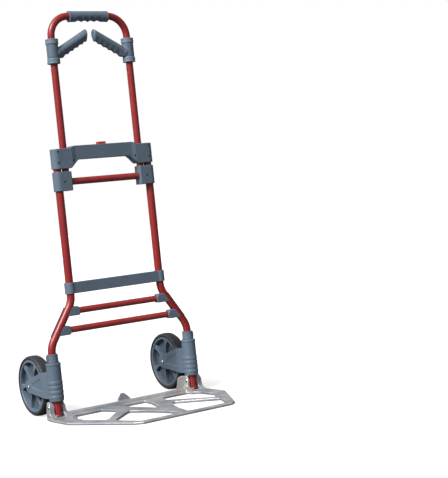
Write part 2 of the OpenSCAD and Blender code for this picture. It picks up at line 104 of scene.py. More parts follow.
def arc(centre, radius, start, end, steps=24):
    """Points on a circle from start to end, in degrees."""
    points = []
    for i in range(steps + 1):
        angle = math.radians(start + (end - start) * i / steps)
        points.append(Vector((centre[0] + radius * math.cos(angle), centre[1] + radius * math.sin(angle))))
    return points


def circle(centre, radius, steps=48):
    return arc(centre, radius, 0, 360 - 360 / steps, steps - 1)


def rounded(corners, closed=True, step=15):
    """A polygon from (x, y) corners; one given as (x, y, radius) becomes an arc of that radius."""
    outline = []
    count = len(corners)
    for i, corner in enumerate(corners):
        point = Vector(corner[:2])
        radius = corner[2] if len(corner) > 2 else 0
        at_end = not closed and i in (0, count - 1)
        if radius == 0 or at_end:
            outline.append(point)
            continue
        before = (Vector(corners[i - 1][:2]) - point).normalized()
        after = (Vector(corners[(i + 1) % count][:2]) - point).normalized()
        half = before.angle(after) / 2
        centre = point + (before + after).normalized() * radius / math.sin(half)
        start = point + before * radius / math.tan(half) - centre
        turn = math.pi - 2 * half
        if before.x * after.y - before.y * after.x > 0:
            turn = -turn
        steps = max(2, math.ceil(abs(math.degrees(turn)) / step))
        for k in range(steps + 1):
            angle = turn * k / steps
            outline.append(centre + Matrix.Rotation(angle, 2) @ start)
    return outline


def area(outline):
    """Signed area: positive where the outline runs anticlockwise."""
    pairs = zip(outline, outline[1:] + outline[:1])
    return sum(a.x * b.y - b.x * a.y for a, b in pairs) / 2


def inset(outline, distance):
    """The outline moved to its left by distance, its corners mitred."""
    moved = []
    for i, point in enumerate(outline):
        before = (point - outline[i - 1]).normalized()
        after = (outline[(i + 1) % len(outline)] - point).normalized()
        left_before = Vector((-before.y, before.x))
        left_after = Vector((-after.y, after.x))
        mitre = left_before + left_after
        moved.append(point + mitre * (2 * distance / max(mitre.length_squared, 0.5)))
    return moved


def mirrored(corners, axis=0):
    """The corners in reverse order, with the given coordinate's sign changed."""
    return [(*p[:axis], -p[axis], *p[axis + 1:]) for p in reversed(corners)]


def both(half):
    """A closed outline, from its right half."""
    return half + mirrored(half)


def flip(points):
    """Plan points given as (x, forward) become (x, y), because the front is at -Y."""
    return [(p[0], -p[1], *p[2:]) for p in points]


def all_round(steps):
    """Evenly spaced angles round a whole turn, in radians."""
    return [2 * math.pi * i / steps for i in range(steps)]


# ---- solids, as bmeshes in millimetres ----

# UPRIGHT turns a plan into a front view and +Z to the front, SIDEWAYS turns it into a side view of
# (y, z) with its height along X, and AXIS_X lays what stands along Z along X.
UPRIGHT = Matrix.Rotation(math.radians(90), 4, "X")
SIDEWAYS = Matrix(((0, 0, 1, 0), (1, 0, 0, 0), (0, 1, 0, 0), (0, 0, 0, 1)))
AXIS_X = Matrix.Rotation(math.radians(90), 4, "Y")


def at(x=0.0, y=0.0, z=0.0):
    return Matrix.Translation((x, y, z))


def skin(rings, closed=False):
    """A surface over consecutive rings of points; a ring of one point is a tip."""
    bm = bmesh.new()
    made = [[bm.verts.new(p) for p in ring] for ring in rings]
    pairs = list(zip(made, made[1:]))
    if closed:
        pairs.append((made[-1], made[0]))
    for low, high in pairs:
        count = max(len(low), len(high))
        for i in range(count):
            j = (i + 1) % count
            corners = [low[i % len(low)], low[j % len(low)], high[j % len(high)], high[i % len(high)]]
            corners = list(dict.fromkeys(corners))
            if len(corners) > 2:
                bm.faces.new(corners)
    return bm


def placed(bm, place):
    bmesh.ops.transform(bm, matrix=place, verts=bm.verts)
    return bm


def join(*parts):
    """Several solids in one mesh, each left as it is."""
    whole = bmesh.new()
    for part in parts:
        mesh = bpy.data.meshes.new("part")
        part.to_mesh(mesh)
        part.free()
        whole.from_mesh(mesh)
        bpy.data.meshes.remove(mesh)
    return whole


def lathe(profile, steps=72, place=Matrix()):
    """Turns a profile of (radius, height) points round Z. It is closed, or runs from tip to tip."""
    rings = []
    for radius, height in profile:
        if radius == 0:
            rings.append([Vector((0, 0, height))])
            continue
        ring = [(radius * math.cos(t), radius * math.sin(t), height) for t in all_round(steps)]
        rings.append([Vector(p) for p in ring])
    return placed(skin(rings, closed=min(r for r, _ in profile) > 0), place)


def plate(outlines, low, high, bevel=0.0, place=Matrix(), segments=3):
    """A flat solid between two heights. The first outline is its outside, the others are holes."""
    bm = bmesh.new()
    turns = [math.pi / 2 * i / segments for i in range(segments + 1)] if bevel else [math.pi / 2]
    levels = [(bevel * (1 - math.sin(t)), low + bevel * (1 - math.cos(t))) for t in turns]
    levels += [(bevel * (1 - math.sin(t)), high - bevel * (1 - math.cos(t))) for t in reversed(turns)]
    rims = {0: [], len(levels) - 1: []}
    for number, outline in enumerate(outlines):
        outline = [Vector(p) for p in outline]
        if (area(outline) > 0) != (number == 0):
            outline.reverse()
        rings = []
        for distance, height in levels:
            ring = inset(outline, distance) if distance else outline
            rings.append([bm.verts.new((p.x, p.y, height)) for p in ring])
        for lower, upper in zip(rings, rings[1:]):
            for i in range(len(lower)):
                j = (i + 1) % len(lower)
                bm.faces.new((lower[i], lower[j], upper[j], upper[i]))
        for level in rims:
            ring = rings[level]
            for i, vert in enumerate(ring):
                rims[level].append(bm.edges.get((ring[i - 1], vert)))
    for edges in rims.values():
        bmesh.ops.triangle_fill(bm, use_beauty=True, use_dissolve=False, edges=edges)
    bmesh.ops.recalc_face_normals(bm, faces=bm.faces)
    return placed(bm, place)


def block(low, high, bevel=0.0):
    """A box between two corners, its edges rounded."""
    corners = [(low[0], low[1]), (high[0], low[1]), (high[0], high[1]), (low[0], high[1])]
    if bevel:
        corners = [(x, y, 1.3 * bevel) for x, y in corners]
    return plate([rounded(corners)], low[2], high[2], bevel)


def rod(radius, low, high, place=Matrix(), steps=48):
    return lathe([(0, low), (radius, low), (radius, high), (0, high)], steps, place)


def tube(corners, outside, wall, lip=0.4, steps=48):
    """An open-ended tube along (x, z) corners with bend radii."""
    path = [Vector((p.x, 0, p.y)) for p in rounded(corners, closed=False, step=5)]
    stations = []
    for i, point in enumerate(path):
        before = path[max(i - 1, 0)]
        after = path[min(i + 1, len(path) - 1)]
        ways = [(after - point).normalized() if i + 1 < len(path) else Vector(),
                (point - before).normalized() if i else Vector()]
        stations.append((point, (ways[0] + ways[1]).normalized()))
    first, last = stations[0], stations[-1]
    near = (first[0] + first[1] * lip, first[1])
    far = (last[0] - last[1] * lip, last[1])
    inside = outside - wall
    run = [near] + stations[1:-1] + [far]
    rings = [(first, outside - lip)]
    rings += [(station, outside) for station in run]
    rings += [(last, outside - lip), (last, inside + lip)]
    rings += [(station, inside) for station in reversed(run)]
    rings += [(first, inside + lip)]
    made = []
    rear = Vector((0, 1, 0))
    for (point, way), radius in rings:
        sideways = way.cross(rear)
        spokes = [sideways * math.cos(t) + rear * math.sin(t) for t in all_round(steps)]
        made.append([point + spoke * radius for spoke in spokes])
    return skin(made, closed=True)


def add_object(name, data):
    made = bpy.data.objects.new(name, data)
    bpy.context.scene.collection.objects.link(made)
    return made


def as_object(bm, name="solid"):
    bmesh.ops.recalc_face_normals(bm, faces=bm.faces)
    mesh = bpy.data.meshes.new(name)
    bm.to_mesh(mesh)
    bm.free()
    return add_object(name, mesh)


def evaluated(holder):
    """The holder's mesh with its modifiers applied, as a bmesh; the holder is removed."""
    graph = bpy.context.evaluated_depsgraph_get()
    mesh = bpy.data.meshes.new_from_object(holder.evaluated_get(graph))
    bm = bmesh.new()
    bm.from_mesh(mesh)
    bpy.data.meshes.remove(mesh)
    discard(holder)
    return bm


def discard(holder):
    mesh = holder.data
    bpy.data.objects.remove(holder)
    bpy.data.meshes.remove(mesh)


def combine(base, operation, *tools):
    """The base solid joined with (UNION), cut by (DIFFERENCE) or kept inside (INTERSECT) each tool."""
    holder = as_object(base)
    holders = [as_object(tool) for tool in tools]
    for tool in holders:
        step = holder.modifiers.new("step", "BOOLEAN")
        step.operation = operation
        step.solver = "MANIFOLD"
        step.object = tool
    bm = evaluated(holder)
    for tool in holders:
        discard(tool)
    return bm


def bevelled(bm, width, segments=2, angle=28):
    """Rounds every edge sharper than the angle."""
    bmesh.ops.remove_doubles(bm, verts=bm.verts, dist=0.01)
    bmesh.ops.dissolve_limit(bm, angle_limit=math.radians(0.5), verts=bm.verts, edges=bm.edges)
    sharp = [e for e in bm.edges if e.is_manifold and e.calc_face_angle() > math.radians(angle)]
    bmesh.ops.bevel(
        bm, geom=sharp, offset=width, offset_type="OFFSET", segments=segments, profile=0.5,
        affect="EDGES", clamp_overlap=True,
    )
    return bm


def melted(bm, voxel, rounds, keep):
    """Overlapping solids run together as one casting, smoothed in rounds; keep is a share of its faces."""
    holder = as_object(bm)
    remesh = holder.modifiers.new("remesh", "REMESH")
    remesh.mode = "VOXEL"
    remesh.voxel_size = voxel
    smooth = holder.modifiers.new("smooth", "SMOOTH")
    smooth.factor = 0.5
    smooth.iterations = rounds
    thin = holder.modifiers.new("thin", "DECIMATE")
    thin.ratio = keep
    return evaluated(holder)


def piece(name, bm, look, body, stands_for=(), side=1, angle=32):
    """Turns a solid into a finished piece that rides on a body. A look is a material and its slot; the slot
    is not used.
    """
    material, slot = look
    made = as_object(placed(bm, Matrix.Diagonal((side * MM, MM, MM, 1))), name)
    made.data.shade_smooth()
    made.data.set_sharp_from_angle(angle=math.radians(angle))
    made.data.materials.append(material)
    even = made.modifiers.new("even_shading", "WEIGHTED_NORMAL")
    even.keep_sharp = True
    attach(made, body)
    if stands_for:
        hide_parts(*stands_for)
    return made


def keep_node(node, look):
    """A CAD node whose shape is right stays, with a better material."""
    material, slot = look
    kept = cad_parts[node]
    kept.data.materials.clear()
    kept.data.materials.append(material)


# ---- materials ----


def add_node(tree, kind, **values):
    """A new shader node with some of its inputs set. An underscore stands for a space in a name."""
    node = tree.nodes.new("ShaderNode" + kind)
    set_inputs(node, values)
    return node


def set_inputs(node, values):
    for name, value in values.items():
        node.inputs[name.replace("_", " ")].default_value = value


class Surface:
    """A Principled material with its texture nodes, all in the object's own coordinates."""

    def __init__(self, name):
        self.material = bpy.data.materials.new(name)
        self.material.use_nodes = True
        self.tree = self.material.node_tree
        self.link = self.tree.links.new
        self.shader = self.tree.nodes["Principled BSDF"]
        self.place = add_node(self.tree, "TexCoord").outputs["Object"]
        self.height = None

    def noise(self, scale, detail, stretch=(1, 1, 1)):
        """Noise with about scale features per metre."""
        place = self.place
        if stretch != (1, 1, 1):
            mapping = add_node(self.tree, "Mapping", Scale=stretch)
            self.link(place, mapping.inputs["Vector"])
            place = mapping.outputs["Vector"]
        noise = add_node(self.tree, "TexNoise", Scale=scale, Detail=detail)
        self.link(place, noise.inputs["Vector"])
        return noise.outputs["Fac"]

    def ramp(self, value, low, high, start, end):
        """Maps value from low..high to start..end, and clamps it."""
        node = add_node(self.tree, "MapRange", From_Min=low, From_Max=high, To_Min=start, To_Max=end)
        self.link(value, node.inputs["Value"])
        return node.outputs["Result"]

    def patches(self, scale, detail, low, high, most=1.0, stretch=(1, 1, 1)):
        """Noise cut to islands: 0 where it is below low, rising to most where it is above high."""
        return self.ramp(self.noise(scale, detail, stretch), low, high, 0, most)

    def blend(self, factor, first, second):
        """A colour between two, each a plain colour or a socket."""
        mix = add_node(self.tree, "Mix")
        mix.data_type = "RGBA"
        self.link(factor, mix.inputs[0])
        for socket, colour in ((mix.inputs[6], first), (mix.inputs[7], second)):
            if isinstance(colour, bpy.types.NodeSocket):
                self.link(colour, socket)
            else:
                socket.default_value = (*colour, 1)
        return mix.outputs[2]

    def worn(self, low, high, most):
        """How far an outward edge is rubbed: 0 where flat, up to most where sharp, broken up by noise."""
        pointiness = add_node(self.tree, "NewGeometry").outputs["Pointiness"]
        edges = self.ramp(pointiness, low, high, 0, most)
        times = add_node(self.tree, "Math")
        times.operation = "MULTIPLY"
        self.link(edges, times.inputs[0])
        self.link(self.ramp(self.noise(55, 5), 0.35, 0.65, 0.25, 1), times.inputs[1])
        return times.outputs[0]

    def colour(self, socket):
        self.link(socket, self.shader.inputs["Base Color"])

    def roughness(self, scale, detail, smoothest, roughest):
        """Gloss that comes and goes in patches, about scale of them per metre."""
        uneven = self.ramp(self.noise(scale, detail), 0.3, 0.7, smoothest, roughest)
        self.link(uneven, self.shader.inputs["Roughness"])

    def bump(self, value, distance, strength):
        """Adds relief of about distance metres to what is already there."""
        node = add_node(self.tree, "Bump", Distance=distance, Strength=strength)
        self.link(value, node.inputs["Height"])
        if self.height is not None:
            self.link(self.height, node.inputs["Normal"])
        self.height = node.outputs["Normal"]
        self.link(self.height, self.shader.inputs["Normal"])

    def set(self, **values):
        set_inputs(self.shader, values)


def powder_coat():
    """Satin red enamel with a faint orange peel, dulled and darkened a little in patches."""
    surface = Surface("red_powder_coat")
    broad = surface.patches(22, 2, 0.3, 0.7)
    colour = surface.blend(broad, (0.180, 0.0066, 0.0070), (0.210, 0.0085, 0.0088))
    specks = surface.patches(900, 2, 0.66, 0.74, 0.5)
    colour = surface.blend(specks, colour, (0.13, 0.005, 0.006))
    surface.colour(surface.blend(surface.worn(0.53, 0.60, 0.5), colour, (0.30, 0.045, 0.042)))
    surface.roughness(60, 4, 0.36, 0.48)
    surface.bump(surface.noise(420, 2), 0.00003, 0.3)
    surface.set(Coat_Weight=0.15, Coat_Roughness=0.28, Specular_IOR_Level=0.42)
    return surface.material


def moulded_plastic(name, dark, light):
    """Polypropylene with a fine spark-eroded grain, faint flow marks and rubbed edges."""
    surface = Surface(name)
    flow = surface.patches(14, 3, 0.3, 0.7, stretch=(1, 1, 0.4))
    base = surface.blend(flow, dark, light)
    scuffs = surface.patches(70, 5, 0.62, 0.8, 0.3)
    pale = tuple(min(1.0, c * 1.5 + 0.02) for c in light)
    base = surface.blend(scuffs, base, pale)
    surface.colour(surface.blend(surface.worn(0.52, 0.60, 0.7), base, pale))
    surface.roughness(120, 4, 0.40, 0.54)
    surface.bump(surface.noise(1500, 3), 0.00002, 0.4)
    surface.bump(surface.noise(45, 2), 0.0004, 0.08)
    surface.set(Specular_IOR_Level=0.42)
    return surface.material


def cast_aluminium():
    """Tumbled casting: dull in the hollows, brighter where its edges are rubbed."""
    surface = Surface("cast_aluminium")
    broad = surface.patches(16, 4, 0.35, 0.65)
    base = surface.blend(broad, (0.25, 0.27, 0.31), (0.45, 0.45, 0.47))
    warm = surface.patches(9, 3, 0.5, 0.7, 0.45)
    base = surface.blend(warm, base, (0.42, 0.37, 0.31))
    pits = surface.patches(520, 4, 0.56, 0.7, 0.5)
    base = surface.blend(pits, base, (0.17, 0.172, 0.19))
    surface.colour(surface.blend(surface.worn(0.50, 0.57, 0.6), base, (0.70, 0.69, 0.69)))
    surface.roughness(90, 4, 0.38, 0.56)
    surface.bump(surface.noise(850, 4), 0.00016, 0.6)
    surface.bump(surface.noise(60, 3), 0.0010, 0.25)
    surface.set(Metallic=0.7)
    return surface.material


def zinc_steel():
    """Bright plated steel with faint crystal patches."""
    surface = Surface("zinc_steel")
    patches = surface.patches(240, 4, 0.35, 0.65)
    surface.colour(surface.blend(patches, (0.42, 0.42, 0.44), (0.60, 0.60, 0.61)))
    surface.roughness(500, 3, 0.2, 0.36)
    surface.bump(surface.noise(1800, 2), 0.00004, 0.4)
    surface.set(Metallic=1.0)
    return surface.material


def black_steel():
    """Phosphated socket screws."""
    surface = Surface("black_steel")
    patches = surface.patches(400, 4, 0.35, 0.65)
    surface.colour(surface.blend(patches, (0.05, 0.05, 0.055), (0.10, 0.10, 0.11)))
    surface.roughness(500, 3, 0.3, 0.45)
    surface.bump(surface.noise(1800, 2), 0.00004, 0.4)
    surface.set(Metallic=0.8)
    return surface.material


def tyre_rubber():
    """Black rubber, dusty in patches and greyer where its edges are worn."""
    surface = Surface("tyre_rubber")
    dust = surface.patches(40, 5, 0.5, 0.78, 0.5)
    base = surface.blend(dust, (0.010, 0.010, 0.013), (0.026, 0.026, 0.028))
    surface.colour(surface.blend(surface.worn(0.52, 0.58, 0.3), base, (0.07, 0.07, 0.075)))
    surface.roughness(150, 4, 0.55, 0.74)
    surface.bump(surface.noise(1100, 3), 0.00012, 0.6)
    return surface.material


def red_plastic():
    """The release button's plastic, with faint flow marks."""
    surface = Surface("red_plastic")
    flow = surface.patches(90, 3, 0.3, 0.7)
    surface.colour(surface.blend(flow, (0.30, 0.014, 0.013), (0.35, 0.020, 0.018)))
    surface.roughness(300, 3, 0.32, 0.44)
    surface.bump(surface.noise(1500, 3), 0.00006, 0.5)
    return surface.material


RED = powder_coat(), "red_powder_coat"
BUTTON = red_plastic(), "red_plastic"
GREY = moulded_plastic("grey_plastic", (0.070, 0.098, 0.133), (0.085, 0.117, 0.156)), "grey_plastic"
PALE = moulded_plastic("pale_plastic", (0.098, 0.138, 0.178), (0.118, 0.162, 0.205)), "pale_plastic"
METAL = cast_aluminium(), "cast_aluminium"
STEEL = zinc_steel(), "steel"
SCREW = black_steel(), "steel"
# Near-black plastic for the wear strips: painted shade, the strips made dark where they sit in shade.
STRIP_SHADE = moulded_plastic("strip_shade_plastic", (0.020, 0.022, 0.026), (0.028, 0.030, 0.035)), "grey_plastic"
# Darker plastic for the wheel web: painted shade for the deep pockets between the spokes.
WEB_SHADE = moulded_plastic("web_shade_plastic", (0.024, 0.034, 0.048), (0.036, 0.049, 0.066)), "grey_plastic"
RUBBER = tyre_rubber(), "tyre_rubber"


# ---- side tubes and what is clamped to them ----


def side_tube():
    knees = [(foot_x, knee_low_z, knee_bend), (lower_x, knee_high_z, knee_bend)]
    return tube([(foot_x, tube_low.z)] + knees + [(lower_x, tube_high.z)], lower_r, tube_wall)


def on_slant(along):
    """Frame on the slanted length of the right-hand tube, +Z up along it and +X outwards."""
    return at(foot_x, 0, knee_low_z) @ Matrix.Rotation(-slope, 4, "Y") @ at(z=along)


def glide_strip():
    """A thin wear strip on the outer rear of the slanted tube, for sliding over a step."""
    length, thick = 88, 1.9
    outer = arc((0, 0), lower_r + thick, -6, 95)
    inner = arc((0, 0), lower_r + loose_fit, 95, -6)
    return plate([outer + inner], 0, length, 0.6, on_slant((slant - length) / 2))


def tube_collar():
    """A split ring round the tube, with a pinch screw through its lug."""
    low, high = box("tube_collar_right")
    bore = lower_r + close_fit
    profile = rounded([(bore, low.z), (16.4, low.z, 0.8), (15.8, low.z + 5, 3), (15.0, high.z - 4, 1.5),
                       (15.5, high.z - 2.6, 0.6), (15.5, high.z, 0.9), (bore, high.z, 0.4)])
    ring = lathe(profile, 72, at(foot_x))
    lug = block((foot_x + bore + 1, -4, low.z + 3), (high.x, 4, high.z - 3), 1.4)
    slit = block((foot_x + bore - 1, -0.6, low.z - 1), (high.x + 1, 0.6, high.z + 1))
    pinch = rod(2.4, -5.2, 5.2, at(high.x - 3, 0, (low.z + high.z) / 2) @ UPRIGHT, 24)
    return join(combine(combine(ring, "UNION", lug), "DIFFERENCE", slit), pinch)


def cross_band():
    """The flat band: a bar in front of the tubes that ends in a ring round each."""
    low, high = box("lower_cross_band")
    wrap_r = high.y
    front, back = 12.0, 1.0
    front_angle = math.degrees(math.asin(front / wrap_r))
    back_angle = math.degrees(math.asin(back / wrap_r))
    right = arc((lower_x, 0), wrap_r, 180 + front_angle, 540 + back_angle, 40)
    left = arc((-lower_x, 0), wrap_r, -back_angle, 360 - front_angle, 40)
    holes = [circle((x, 0), lower_r + close_fit) for x in (-lower_x, lower_x)]
    return plate([right + left] + holes, low.z, high.z, 1.2)


# The photograph's cross tubes are a little thinner than the CAD's and lie a little lower.
tie_drop = 1.5
tie_r = 8.8


def cross_tube(node, drop, radius):
    """A straight red tube on the line of a CAD cross tube, lowered by drop."""
    low, high = box(node)
    height = (high.z + low.z) / 2 - drop
    return tube([(low.x, height), (high.x, height)], radius, tube_wall)


def clamp(node):
    """A plastic saddle that holds a cross tube's end against the slanted side tube."""
    low, high = box(node)
    height = (low.z + high.z) / 2 - tie_drop
    half = (high.z - low.z) / 2 + 1
    lean = half * math.tan(slope)
    face = foot_x - (height - knee_low_z) * math.tan(slope)
    inner = face - lower_r / math.cos(slope) - 24
    bottom, top = height - half, height + half
    outline = [(inner + lean * 0.5, top, 4), (inner - lean * 0.2, height, 12),
               (inner + lean * 0.3, bottom, 4), (face + lean - 3, bottom), (face - lean - 3, top)]
    body = plate([rounded(outline)], low.y, high.y, 2.4, UPRIGHT)
    saddle = placed(rod(lower_r + loose_fit, -40, 40), on_slant((height - knee_low_z) / math.cos(slope)))
    return combine(body, "DIFFERENCE", saddle)


# ---- bridge, button and sliders ----

housing_r = size("slider_right").y / 2
bridge_low, bridge_high = box("bridge_front")
slider_low, slider_high = box("slider_right")
beam_rise = 6.0
bridge_foot = bridge_low.z - 2.5
beam_low = bridge_low.z + 20.5
beam_r = 13.5
# Each screw of the bridge's right half: its x, its z and the depth of the front face there.
screw_spots = [(lower_x, bridge_high.z - beam_rise - 8, housing_r), (lower_x, bridge_low.z + 14, housing_r),
               (99.0, beam_low - 1.5, beam_r)]
slider_screw_x = 131.6
slider_tie_r = 9.6
slider_lift = 1.5


def recess(x, face, z):
    """A cutter for a screw's countersink in a front face."""
    return rod(3.0, face - 1.9, face + 5, at(x, 0, z) @ UPRIGHT, 32)


def screw(x, face, z):
    """A button-head screw with a hexagon socket, sunk in a front face."""
    place = at(x, 0, z) @ UPRIGHT
    socket = circle((0, 0), 1.2, 6)
    head = plate([circle((0, 0), 2.6, 32), socket], face - 1.85, face - 0.9, 0.3, place)
    floor = rod(2.4, face - 1.95, face - 1.5, place, 32)
    return join(head, floor)


def bridge_body():
    """The whole bridge with its bores and button window, before it is split front from back."""
    top = bridge_high.z - beam_rise
    end = bridge_high.x - 1.5
    right = [(81, beam_low, 10), (107, bridge_foot, 5), (end, bridge_foot), (end, top), (107, top, 10),
             (94, bridge_high.z, 12)]
    front = plate([rounded(both(right))], -60, 60, 0, UPRIGHT)
    half_plan = [(90, -beam_r, 14), (102, -housing_r, 14), (end, -housing_r, housing_r - 0.2),
                 (end, housing_r, housing_r - 0.2), (102, housing_r, 14), (90, beam_r, 14)]
    plan = rounded(half_plan + [(-x, -y, r) for x, y, r in half_plan], step=10)
    outside = combine(plate([plan], bridge_low.z - 20, bridge_high.z + 20), "INTERSECT", front)
    cutters = [block((-104.6, -8, beam_low + 4), (104.6, 8, bridge_high.z - 4)),
               block((-13.5, -7, bridge_high.z - 6), (13.5, 7, bridge_high.z + 5))]
    for side in (-1, 1):
        cutters.append(rod(lower_r + loose_fit, bridge_foot - 5, top - 5, at(side * lower_x)))
        cutters.append(rod(upper_r + loose_fit, bridge_foot - 5, top + 20, at(side * upper_x)))
        cutters += [recess(side * x, face, z) for x, z, face in screw_spots]
    return combine(bevelled(outside, 1.6, 3), "DIFFERENCE", *cutters)


def bridge_half(front):
    """The bridge's shell in front of the plane of the tubes, or the one behind it."""
    gap = 0.15
    y0, y1 = (-60, -gap) if front else (gap, 60)
    room = block((-200, y0, bridge_foot - 5), (200, y1, bridge_high.z + 20))
    return combine(bridge_body(), "INTERSECT", room)


def bridge_screws():
    return join(*[screw(side * x, face, z) for side in (-1, 1) for x, z, face in screw_spots])


def release_button():
    """A cap on two legs, hollow underneath for its spring."""
    low, high = box("release_button")
    spring_top = box("button_spring")[1].z
    pocket_r, press = 4.4, 4.0
    corners = [(low.x, low.y, 2.5), (high.x, low.y, 2.5), (high.x, high.y, 2.5), (low.x, high.y, 2.5)]
    body = plate([rounded(corners)], high.z - 19, high.z, 1.6, segments=4)
    pocket = rod(pocket_r, high.z - 25, spring_top + press + 1, at(y=middle("button_spring").y))
    body = combine(body, "DIFFERENCE", pocket)
    legs = []
    for x in (-9, 9):
        legs.append(block((x - 3, -6.2, low.z), (x + 3, -3.8, high.z - 17), 0.4))
        legs.append(rod(1.5, -2, 4, at(x, 0, low.z + 3) @ UPRIGHT, 24))
    return join(body, *legs)


def slider():
    """A collar that slides on the side tube and holds the handle tube's end."""
    inner, outer = slider_low.x + 4, slider_high.x - 1.5
    plan = rounded([(inner, -housing_r, 4), (outer, -housing_r, housing_r - 0.1),
                    (outer, housing_r, housing_r - 0.1), (inner, housing_r, 4)], step=7)
    holes = [circle((lower_x, 0), lower_r + loose_fit), circle((upper_x, 0), upper_r + loose_fit)]
    body = plate([plan] + holes, slider_low.z + slider_lift, slider_high.z + slider_lift, 1.8, segments=4)
    height = (slider_low.z + slider_high.z) / 2
    socket = rod(slider_tie_r + loose_fit, inner - 2, inner + 4, at(z=height) @ AXIS_X)
    cut = combine(body, "DIFFERENCE", socket, recess(slider_screw_x, housing_r, height))
    floor = rod(upper_r + 0.4, slider_low.z + 2.4, slider_low.z + 5.5, at(upper_x))
    return join(cut, floor)


def slider_screws():
    height = (slider_low.z + slider_high.z) / 2
    return join(*[screw(side * slider_screw_x, housing_r, height) for side in (-1, 1)])


# ---- handle ----


def handle_tube():
    """The U-shaped tube, with a small hole through both legs."""
    corners = both([(upper_x, handle_foot), (upper_x, handle_top, handle_bend)])
    hole_z = middle("swivel_ring_lower_right").z - 28
    drill = rod(2.6, -200, 200, at(z=hole_z) @ AXIS_X, 32)
    return combine(tube(corners, upper_r, tube_wall), "DIFFERENCE", drill)


def top_grip():
    """A sleeve with four finger grooves underneath and a slight flange at each end."""
    low, high = box("top_grip")
    half, radius = high.x, (high.y - low.y) / 2
    pitch, depth, belly = 20.0, 3.4, 2.2
    steps, stations = 64, 122
    rings = []

    def ring(x, r, groove):
        points = []
        for turn in all_round(steps):
            under = max(0.0, -math.sin(turn)) ** 1.3
            reach = r + (belly - groove) * under
            points.append(Vector((x, reach * math.cos(turn), handle_top + reach * math.sin(turn))))
        return points

    rings.append(ring(-half, radius - 1.2, 0))
    for i in range(stations + 1):
        x = -half + 0.5 + (2 * half - 1) * i / stations
        inside = abs(x) < 2 * pitch
        groove = depth * abs(math.sin(math.pi * x / pitch)) ** 0.8 if inside else 0
        waist = 0.5 if abs(x) < half - 5 else 0.0
        rings.append(ring(x, radius - waist, groove))
    rings.append(ring(half, radius - 1.2, 0))
    for x in (half, -half):
        rings.append(ring(x, upper_r + close_fit, belly))
    return skin(rings, closed=True)


def swivel_ring(node, above):
    """A stop ring, stepped in next to the grip's sleeve and slightly flanged at its far end."""
    low, high = box(node)
    outer = (high.x - low.x) / 2
    bore = upper_r + close_fit
    height = high.z - low.z
    profile = rounded([(bore, 0, 0.3), (outer - 1.2, 0, 0.8), (outer - 1.2, 2.2, 0.4), (outer, 2.8, 0.8),
                       (outer - 0.3, height - 4, 2), (outer, height - 3, 1), (outer, height, 1.2),
                       (bore, height, 0.3)])
    place = at(upper_x, 0, low.z)
    if not above:
        place = at(upper_x, 0, high.z) @ Matrix.Rotation(math.pi, 4, "X")
    return lathe(profile, 72, place)


def ring_rivet(node):
    """The domed rivet that holds a stop ring, on its outer rear."""
    low, high = box(node)
    outer = (high.x - low.x) / 2
    out = Matrix.Rotation(math.radians(40), 4, "Z") @ AXIS_X
    place = at(upper_x, 0, (low.z + high.z) / 2) @ out
    profile = [(0, outer - 2), (2.6, outer - 2), (2.6, outer + 0.1), (2.0, outer + 0.7), (0, outer + 0.9)]
    return lathe(profile, 24, place)


bar_start = Vector((upper_x, 0, middle("swivel_ring_lower_right").z + 12.5))
bar_way = Vector((-math.cos(swivel_slope), 0, math.sin(swivel_slope)))
bar_up = Vector((math.sin(swivel_slope), 0, math.cos(swivel_slope)))
sleeve_r = box("swivel_grip_right")[1].x - upper_x
grip_end_x = box("grip_cap_right")[0].x - 10.5
grip_round = 3.5


def bar_section():
    """Teardrop cross-section of a swivel grip, its narrow end down."""
    wide, tip, drop, lift = 13.0, 8.5, 10.0, 1.0
    spread = math.degrees(math.acos((wide - tip) / drop))
    crown = arc((0, lift), wide, spread - 90, 270 - spread, 40)
    toe = arc((0, lift - drop), tip, 270 - spread, 270 + spread, 16)
    return crown[:-1] + toe[:-1]


def along_bar(p, x):
    """How far along the bar a point of its section lies when it is on the upright plane at x."""
    return (upper_x + p.y * bar_up.x - x) / -bar_way.x


def grip_bar():
    """The bar of a swivel grip, with finger waves underneath, fine ribs on its flanks and a flared root."""
    section = bar_section()
    wave_pitch, wave_depth, first_wave = 18.0, 2.6, 26.0
    rib_pitch, rib_depth = 5.6, 0.3
    stations, round_steps = 120, 5
    rings = []
    for i in range(stations + 1):
        ring = []
        for p in section:
            reach = along_bar(p, grip_end_x + grip_round) * i / stations
            gripped = 1 if reach > first_wave else 0
            wave = gripped * wave_depth * abs(math.sin(math.pi * (reach - first_wave) / wave_pitch))
            under = max(0.0, (3 - p.y) / 18)
            flank = max(0.0, 1 - abs(p.y + 5) / 9)
            rib = gripped * rib_depth * flank * (0.5 + 0.5 * math.sin(2 * math.pi * reach / rib_pitch))
            flare = 1 + 0.16 * math.exp(-max(0.0, reach - sleeve_r) / 4)
            across = p.x * flare + math.copysign(rib, p.x)
            rise = p.y * (flare if p.y > 0 else 1) + wave * under
            ring.append(bar_start + bar_way * reach + bar_up * rise + Vector((0, across, 0)))
        rings.append(ring)
    for k in range(1, round_steps + 1):
        turn = math.pi / 2 * k / round_steps
        plane = grip_end_x + grip_round * (1 - math.sin(turn))
        rings.append([bar_start + bar_way * along_bar(p, plane) + bar_up * p.y + Vector((0, p.x, 0))
                      for p in inset(section, grip_round * (1 - math.cos(turn)))])
    middle_of = [sum(ring, Vector()) / len(ring) for ring in (rings[0], rings[-1])]
    return skin([[middle_of[0]]] + rings + [[middle_of[1]]])


